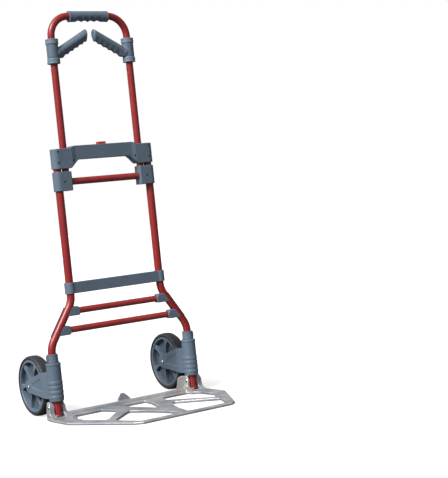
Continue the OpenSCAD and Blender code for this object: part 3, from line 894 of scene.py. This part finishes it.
def swivel_grip():
    """A sleeve on the handle tube with a grip bar that rises towards the middle."""
    sleeve_low = box("swivel_ring_lower_right")[1].z + 0.4
    sleeve_high = box("swivel_ring_upper_right")[0].z - 0.4
    axis = at(upper_x)
    whole = combine(rod(sleeve_r, sleeve_low, sleeve_high, axis, 96), "UNION", grip_bar())
    bore = rod(upper_r + close_fit, sleeve_low - 60, sleeve_high + 60, axis, 72)
    upper_room = rod(sleeve_r + 2.5, sleeve_high, sleeve_high + 40, axis, 72)
    lower_room = rod(sleeve_r + 20, sleeve_low - 40, sleeve_low, axis, 72)
    return melted(combine(whole, "DIFFERENCE", bore, upper_room, lower_room), voxel=0.7, rounds=3, keep=0.5)


def grip_cap():
    """The plug that closes a swivel grip's end, with a small moulding hole."""
    x0, x1 = grip_end_x - 0.7, grip_end_x + 2.3
    height = bar_start.z + (upper_x - grip_end_x) * math.tan(swivel_slope)
    section = inset(bar_section(), grip_round)
    outline = [Vector((p.x, height + p.y / math.cos(swivel_slope))) for p in section]
    hole = (0, height + 3)
    cap = plate([outline, circle(hole, 1.8, 24)], x0, x1, 0.7, SIDEWAYS)
    floor = plate([circle(hole, 2.2, 24)], x0 + 1.6, x1, 0, SIDEWAYS)
    return join(cap, floor)


# ---- forks and wheels ----

cheek_out = foot_x - box("axle_cap_right")[1].x
barrel_r = 20.0
axle_r = 5.0
HUB = at(*WHEEL) @ AXIS_X


def fork_barrel(bore):
    """The sleeve that turns round the side tube's foot, with raised bands and a rolled top."""
    low, high = (corner.z for corner in box("fork_right"))
    bands = []
    for z in range(62, 102, 13):
        bands += [(barrel_r, z - 4.5), (barrel_r + 0.8, z - 3), (barrel_r + 0.8, z + 3), (barrel_r, z + 4.5)]
    foot = [(bore, low), (barrel_r - 0.6, low), (barrel_r, low + 1.5)]
    top = [(barrel_r, high - 8), (barrel_r + 0.8, high - 6), (barrel_r + 0.8, high - 1.5),
           (barrel_r - 1.5, high), (bore, high)]
    return lathe(foot + bands + top, 96, at(foot_x))


def fork_cheeks(bore):
    """Two arms beside the wheel, each with a sunk panel on its outer face."""
    end = WHEEL.y + 17
    side_view = rounded([(6, 57, 4), (22, 57, 12), (end, 70, 14), (end, 101, 14), (34, 129, 12), (6, 129)])
    arms = plate([side_view], foot_x - cheek_out, foot_x + cheek_out, 0, SIDEWAYS)
    plan = [(-17, 0), (17, 0), (18, 12, 10), (cheek_out, 36, 16), (cheek_out, 150), (-cheek_out, 150),
            (-cheek_out, 36, 16), (-18, 12, 10)]
    taper = plate([rounded(plan)], 0, 200, 0, at(foot_x))
    gap = wheel_w / 2 + 1.2
    wheel_room = rod(wheel_r + 5, -gap, gap, HUB, 96)
    cutters = [wheel_room, rod(bore + 0.6, 0, 200, at(foot_x)), rod(axle_r, -40, 40, HUB)]
    panel = rounded([(36, 76, 4), (36, 114, 4), (92, 95, 3), (98, 84, 3)])
    sunk = cheek_out - 1.3
    for low, high in ((-cheek_out - 5, -sunk), (sunk, cheek_out + 5)):
        cutters.append(plate([panel], foot_x + low, foot_x + high, 0, SIDEWAYS))
    return combine(combine(arms, "INTERSECT", taper), "DIFFERENCE", *cutters)


def fork():
    """A barrel, two cheeks that hold the wheel, and a boss on each cheek, moulded in one."""
    bore = lower_r + close_fit
    bosses = []
    for turn in (0, math.pi):
        boss = rod(10.5, cheek_out - 2, cheek_out + 0.6, HUB @ Matrix.Rotation(turn, 4, "X"), 48)
        bosses.append(combine(boss, "DIFFERENCE", rod(axle_r, -40, 40, HUB)))
    whole = join(fork_barrel(bore), fork_cheeks(bore), *bosses)
    return melted(whole, voxel=0.8, rounds=3, keep=0.4)


def axle():
    """The axle with its riveted head on the outer side."""
    head = [(0, 3.0), (2.2, 2.8), (3.6, 2.2), (4.2, 1.3), (6.2, 1.2), (6.6, 0.9), (6.6, 0.5), (axle_r, 0.5)]
    shank = [(axle_r, -cheek_out - 1), (0, -cheek_out - 1)]
    return lathe([(r, cheek_out + height) for r, height in head] + shank, 48, HUB)


def axle_cap():
    """The press-on cap on the axle's inner end."""
    face = cheek_out + 0.5
    cap = [(0, 2.8), (2.4, 2.6), (4.0, 1.8), (4.4, 0.9), (6.2, 0.8), (6.6, 0.4), (6.6, 0), (0, 0)]
    place = at(*WHEEL) @ Matrix.Rotation(math.pi, 4, "Z") @ AXIS_X
    return lathe([(r, face + height) for r, height in cap], 48, place)


rim_r, rim_ring, hub_r, web = 74.0, 8.0, 15.0, 1.6
spoke_count = 6
spoke_turn = {"left": 25, "right": 10}


def rim(turn):
    """A wheel centre: a rim and a hub joined by flared spokes. The first spoke is turn degrees round."""
    half = wheel_w / 2
    face = half - 1
    inner = rim_r - rim_ring
    outside = [(inner, web + 2, 1), (inner + 0.8, face - 2, 1), (inner + 2, face, 0.8),
               (rim_r - 1.6, face, 0.8), (rim_r, face - 1.4, 0.4)]
    inside = [(hub_r, web, 1), (hub_r, half - 5, 1), (hub_r - 1, half - 2, 1.2), (9.2, half - 2, 0.6),
              (8.5, half - 0.5, 0.5), (axle_r + loose_fit, half - 0.5, 0.5)]
    parts = [lathe(rounded(profile + mirrored(profile, 1)), 144, HUB) for profile in (outside, inside)]
    edge = [(hub_r - 3, 5.5), (24, 2.4, 20), (46, 2.2, 40), (inner + 2, 8.5)]
    outline = rounded(edge + mirrored(edge, 1))
    for i in range(spoke_count):
        spin = Matrix.Rotation(math.radians(180 + turn + 360 / spoke_count * i), 4, "Z")
        parts.append(plate([outline], -half + 4, half - 4, 0.9, HUB @ spin))
    return join(*parts)


def rim_web():
    """The thin disc between hub and rim, deep in the wheel, darkened to paint the shade in the wheel's deep
    pockets.
    """
    inner, outer = hub_r - 2, rim_r - rim_ring + 2
    profile = [(inner, -web), (outer, -web - 1), (outer, web + 1), (inner, web)]
    return lathe(profile, 144, HUB)


def tyre():
    """A solid tyre with a slightly crowned tread and rounded shoulders."""
    half = wheel_w / 2
    right = [(73.2, half - 3.4, 0.4), (75.2, half - 0.4, 1.2), (77.5, half, 1.0), (80.5, half - 0.3, 2),
             (83.9, half - 5.5, 5), (wheel_r, 0)]
    return lathe(rounded(right + mirrored(right[:-1], 1)), 144, HUB)


# ---- toe plate ----

plate_reach = -box("toe_plate")[0].y
beam_back, beam_front, beam_h = 4.0, 12.0, 17.0
rail_h, rib_h = 6.5, 7.5
foot_gap = lower_r + 2.5
cheek_in, ear_out = foot_x - 19.5, foot_x + 29.5
ear_top = pin_z + 15.4
ear_back, ear_front, tail_back = 13.0, 6.5, 47.0


def toe_plate():
    """The open cast plate: rails, ribs, rear beam, hinge ears and tab, run together as one casting."""
    edge = [(187, -beam_back, 3), (187, -13), (250, -13, 12), (254, 20, 30), (254, 116, 9),
            (158, plate_reach - 17, 9), (138, plate_reach, 9)]
    root = [(98, 23, 8), (182, 23, 12), (205, 58, 14), (207, 128, 14), (173, 191, 7), (78, 80, 8)]
    tip = [(70, 124, 7), (168, 218, 12), (133, plate_reach - 17, 10), (9, plate_reach - 17, 7),
           (25, 226, 40), (43, 172, 30)]
    centre = [(41, 23, 6), (35, 66, 50), (4, 166, 5)]
    windows = [rounded(flip(both(centre)))]
    for side in (-1, 1):
        for window in (root, tip):
            windows.append(rounded(flip([(side * x, y, r) for x, y, r in window])))
    rails = plate([rounded(flip(both(edge)))] + windows, 0, rail_h, 1.6, segments=4)
    inner = [(84, 12), (214, 12, 10), (214, 132, 14), (166, 222, 14), (132, plate_reach - 12, 10)]
    ribs = plate([rounded(flip(both(inner)))] + windows, 0.5, rib_h, 1.2)
    beam_profile = rounded([(beam_back, 0.2, 1.5), (beam_back, beam_h, 5), (-beam_front, beam_h, 6.5),
                            (-beam_front - 2.5, 6, 6), (-beam_front - 8, 0.2)])
    beam = plate([beam_profile], -cheek_in - 2, cheek_in + 2, 0, SIDEWAYS)
    parts = [rails, ribs, beam, tab()]
    for side in (-1, 1):
        parts.append(placed(ear(), Matrix.Diagonal((side, 1, 1, 1))))
    for part in parts:
        bmesh.ops.recalc_face_normals(part, faces=part.faces)
    return melted(join(*parts), voxel=1.0, rounds=2, keep=0.42)


def ear():
    """A hinge ear: two cheeks beside the tube's foot. The inner one runs back as a tail by the wheel."""
    side_view = [(ear_back, 0.5), (ear_back, ear_top, 5), (1, ear_top, 10), (-ear_front, pin_z + 4, 14),
                 (-ear_front, 17, 8), (-22, 8, 14), (-46, 5), (-46, 0.5)]
    front_view = [(cheek_in - 14, 0.5), (cheek_in - 14, beam_h - 4), (cheek_in - 3, 20, 14),
                  (cheek_in, pin_z, 40), (cheek_in + 1, ear_top, 2), (ear_out - 4, ear_top, 5),
                  (ear_out, 14, 30), (ear_out, 0.5)]
    cheeks = combine(plate([rounded(side_view)], 100, 300, 0, SIDEWAYS), "INTERSECT",
                     plate([rounded(front_view)], -100, 100, 0, UPRIGHT))
    gap = block((foot_x - foot_gap, -60, 7.5), (foot_x + foot_gap, 60, ear_top + 30))
    cheeks = bevelled(combine(cheeks, "DIFFERENCE", gap), 1.4)
    tail_view = [(-2, 1), (-2, ear_top - 1), (26, ear_top - 2, 30), (tail_back - 3, ear_top - 9, 9),
                 (tail_back, 22, 10), (tail_back + 5, 10, 6), (tail_back + 6, 1)]
    wall = foot_x - foot_gap
    tail_plan = [(wall, -4), (wall, 14, 20), (wall - 7, tail_back + 8), (cheek_in - 7, tail_back + 8),
                 (cheek_in, 14, 20), (cheek_in, -4)]
    tail = combine(plate([rounded(tail_view)], 100, 300, 0, SIDEWAYS), "INTERSECT",
                   plate([rounded(tail_plan)], 0, 100))
    return join(cheeks, bevelled(tail, 1.2))


def tab():
    """The small tab that stands up from the middle of the rear beam."""
    outline = rounded([(-34, 8), (-31, 26, 8), (-24, 37, 7), (-12, 38.2, 7), (4, 24, 14), (16, 8)])
    return plate([outline], -4, 1.5, 1.5, UPRIGHT)


def hinge_pin():
    """A pin with a low domed head at each end, outside the ears."""
    start, end = cheek_in - foot_x - 0.2, ear_out - foot_x - 2.0
    profile = [(0, start - 2.4), (3.2, start - 2.0), (5.2, start - 0.9), (5.8, start), (4, start),
               (4, end), (5.8, end), (5.2, end + 0.9), (3.2, end + 2.0), (0, end + 2.4)]
    return lathe(profile, 36, at(foot_x, 0, pin_z) @ AXIS_X)


# ---- the pieces ----

piece("bridge_shell_front", bridge_half(True), GREY, "frame", ["bridge_front"])
piece("bridge_shell_rear", bridge_half(False), GREY, "frame", ["bridge_rear"])
piece("bridge_fasteners", bridge_screws(), SCREW, "frame", ["bridge_screws"])
piece("push_button", release_button(), BUTTON, "button", ["release_button"])
piece("cross_band", cross_band(), GREY, "frame", ["lower_cross_band"])
piece("handle_loop", handle_tube(), RED, "handle", ["handle_tube"])
piece("fixed_grip", top_grip(), GREY, "handle", ["top_grip"])
piece("slider_tie", cross_tube("slider_cross_tube", 0, slider_tie_r), RED, "handle", ["slider_cross_tube"])
piece("slider_fasteners", slider_screws(), SCREW, "handle", ["slider_screws"])
piece("toe_casting", toe_plate(), METAL, "toe_plate", ["toe_plate"], angle=50)
for level in ("upper", "lower"):
    node = "cross_tube_" + level
    piece("tie_" + level, cross_tube(node, tie_drop, tie_r), RED, "frame", [node])
for word, side in SIDES:
    piece("side_tube_" + word, side_tube(), RED, "frame", ["lower_tube_" + word], side)
    # The wear strip's near-black plastic paints the shade it sits in.
    piece("wear_strip_" + word, glide_strip(), STRIP_SHADE, "frame", ["glide_strip_" + word], side)
    piece("collar_" + word, tube_collar(), GREY, "frame", ["tube_collar_" + word], side)
    piece("pin_" + word, hinge_pin(), STEEL, "frame", ["hinge_pin_" + word], side)
    for level in ("upper", "lower"):
        saddle = clamp(f"clamp_{level}_right")
        piece(f"saddle_{level}_{word}", saddle, GREY, "frame", [f"clamp_{level}_{word}"], side)
        right_ring = f"swivel_ring_{level}_right"
        ring = swivel_ring(right_ring, level == "upper")
        piece(f"stop_ring_{level}_{word}", ring, PALE, "handle", [f"swivel_ring_{level}_{word}"], side)
        piece(f"rivet_{level}_{word}", ring_rivet(right_ring), STEEL, "handle", side=side)
    piece("sliding_collar_" + word, slider(), GREY, "handle", ["slider_" + word], side)
    piece("side_grip_" + word, swivel_grip(), GREY, "swivel_" + word, ["swivel_grip_" + word], side, 50)
    piece("grip_plug_" + word, grip_cap(), PALE, "swivel_" + word, ["grip_cap_" + word], side)
    piece("wheel_fork_" + word, fork(), GREY, "fork_" + word, ["fork_" + word], side, 50)
    piece("wheel_axle_" + word, axle(), STEEL, "fork_" + word, ["axle_" + word], side)
    piece("axle_end_" + word, axle_cap(), STEEL, "fork_" + word, ["axle_cap_" + word], side)
    piece("wheel_rim_" + word, rim(spoke_turn[word]), GREY, "wheel_" + word, ["rim_" + word], side)
    # The web's darker plastic paints the shade deep inside the wheel.
    piece("wheel_web_" + word, rim_web(), WEB_SHADE, "wheel_" + word, side=side)
    piece("wheel_tyre_" + word, tyre(), RUBBER, "wheel_" + word, ["tyre_" + word], side)
    keep_node("latch_bolt_" + word, STEEL)
keep_node("button_spring", STEEL)


# ---- floor, light and camera ----


def show_to_camera(tree, shown, working, target):
    """The camera sees one shader, and every other ray meets the working one."""
    switch = add_node(tree, "MixShader")
    tree.links.new(add_node(tree, "LightPath").outputs["Is Camera Ray"], switch.inputs[0])
    tree.links.new(working.outputs[0], switch.inputs[1])
    tree.links.new(shown.outputs[0], switch.inputs[2])
    tree.links.new(switch.outputs[0], tree.nodes[target].inputs["Surface"])


def floor_paper():
    """White paper that shows soft shadows, but gives little light back, so that undersides stay dark."""
    paper = bpy.data.materials.new("floor_paper")
    paper.use_nodes = True
    tree = paper.node_tree
    tree.nodes.remove(tree.nodes["Principled BSDF"])
    glow = add_node(tree, "Emission", Strength=0.72)
    pale = add_node(tree, "BsdfDiffuse", Color=(0.30, 0.30, 0.30, 1))
    lit = add_node(tree, "AddShader")
    tree.links.new(glow.outputs[0], lit.inputs[0])
    tree.links.new(pale.outputs[0], lit.inputs[1])
    dull = add_node(tree, "BsdfDiffuse", Color=(0.12, 0.12, 0.12, 1))
    show_to_camera(tree, lit, dull, "Material Output")
    return paper


def studio_floor():
    """A wide plain floor, a hair below the wheels."""
    reach, drop = 30.0, 0.0002
    bm = bmesh.new()
    corners = ((-reach, -reach), (reach, -reach), (reach, reach), (-reach, reach))
    bm.faces.new([bm.verts.new((x, y, -drop)) for x, y in corners])
    made = as_object(bm, "studio_floor")
    made.data.materials.append(floor_paper())


def sun(name, direction, strength, spread):
    """A soft light from far away: direction points at it, spread is its width in degrees."""
    light = bpy.data.lights.new(name, "SUN")
    light.energy = strength
    light.angle = math.radians(spread)
    made = add_object(name, light)
    made.rotation_euler = Vector(direction).to_track_quat("Z", "Y").to_euler()


def studio():
    """A white background, a soft key from the left, and a sky that is bright overhead on that side."""
    world = bpy.data.worlds.new("studio")
    bpy.context.scene.world = world
    world.use_nodes = True
    tree = world.node_tree
    white = tree.nodes["Background"]
    white.inputs["Color"].default_value = (1, 1, 1, 1)
    sky = add_node(tree, "Background")
    towards = add_node(tree, "VectorMath")
    towards.operation = "DOT_PRODUCT"
    towards.inputs[1].default_value = Vector((-0.55, 0.25, 0.8)).normalized()
    tree.links.new(add_node(tree, "TexCoord").outputs["Generated"], towards.inputs[0])
    fade = add_node(tree, "MapRange", From_Min=-0.6, From_Max=0.9, To_Min=0.03, To_Max=0.98)
    tree.links.new(towards.outputs["Value"], fade.inputs["Value"])
    tree.links.new(fade.outputs["Result"], sky.inputs["Strength"])
    show_to_camera(tree, white, sky, "World Output")
    sun("key", (-0.70, -0.27, 0.70), 6.2, 26)
    sun("fill", (0.2, -0.9, 0.35), 0.15, 40)
    bpy.context.scene.view_settings.view_transform = "Standard"


def camera():
    """Eye level from the cart's front left, with the photograph's slight roll."""
    yaw, pitch, roll = math.radians(-34.33), math.radians(1.76), math.radians(-5.89)
    up = Vector((0, 0, 1))
    right = Vector((math.cos(yaw), math.sin(yaw), 0))
    ahead = Vector((-math.sin(yaw), math.cos(yaw), 0))
    looking = ahead * math.cos(pitch) - up * math.sin(pitch)
    above = ahead * math.sin(pitch) + up * math.cos(pitch)
    image_right = right * math.cos(roll) + above * math.sin(roll)
    image_up = above * math.cos(roll) - right * math.sin(roll)
    data = bpy.data.cameras.new("camera")
    data.sensor_width = 36
    data.lens = 93.77
    made = add_object("camera", data)
    turn = Matrix((image_right, image_up, -looking)).transposed().to_4x4()
    made.matrix_world = at(-1.712, -3.067, 0.546) @ turn
    bpy.context.scene.camera = made


studio_floor()
studio()
camera()
